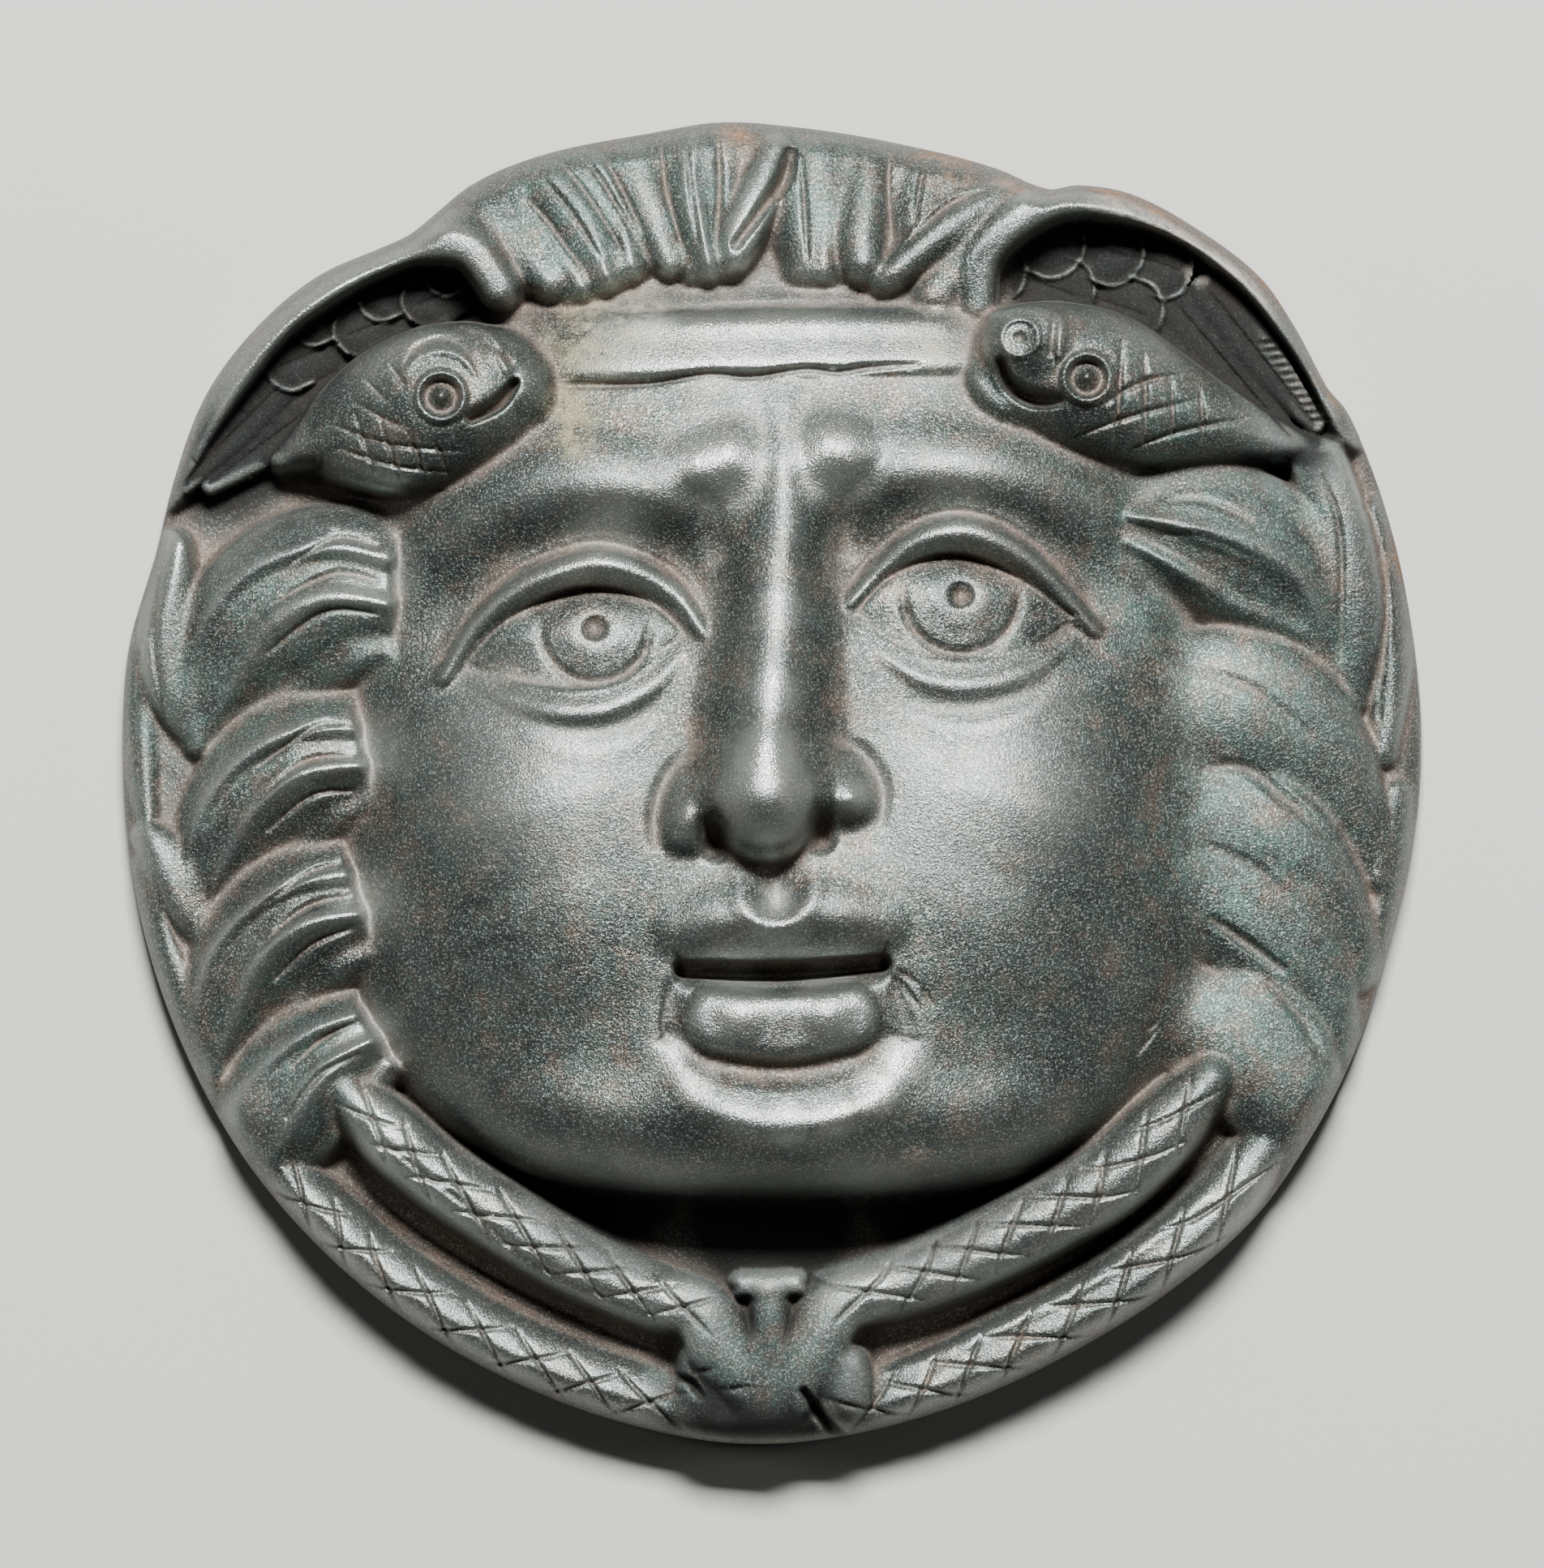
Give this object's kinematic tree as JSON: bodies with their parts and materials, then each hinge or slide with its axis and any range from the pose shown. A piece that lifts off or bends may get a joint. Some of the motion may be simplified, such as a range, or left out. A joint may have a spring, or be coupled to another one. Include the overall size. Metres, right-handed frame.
{
  "type": "gorgon mask",
  "caption": "Cast bronze gorgon mask in high relief, hollow behind, with combed hair, two small wings and two snakes knotted under the chin; it lies face up on its flat back rim",
  "frame": {"origin": "the middle of the outline, in the plane of the flat back rim that the mask lies on", "axes": "+X to the right of the picture, +Y to the top of the head, +Z straight out of the face"},
  "size_m": [0.09, 0.0917, 0.0272],
  "materials": {
    "patinated_bronze": "aged bronze, dark grey-green patina with worn satin high places"
  },
  "bodies": {
    "root": {"gorgon_mask": "patinated_bronze"}
  },
  "joints": []
}
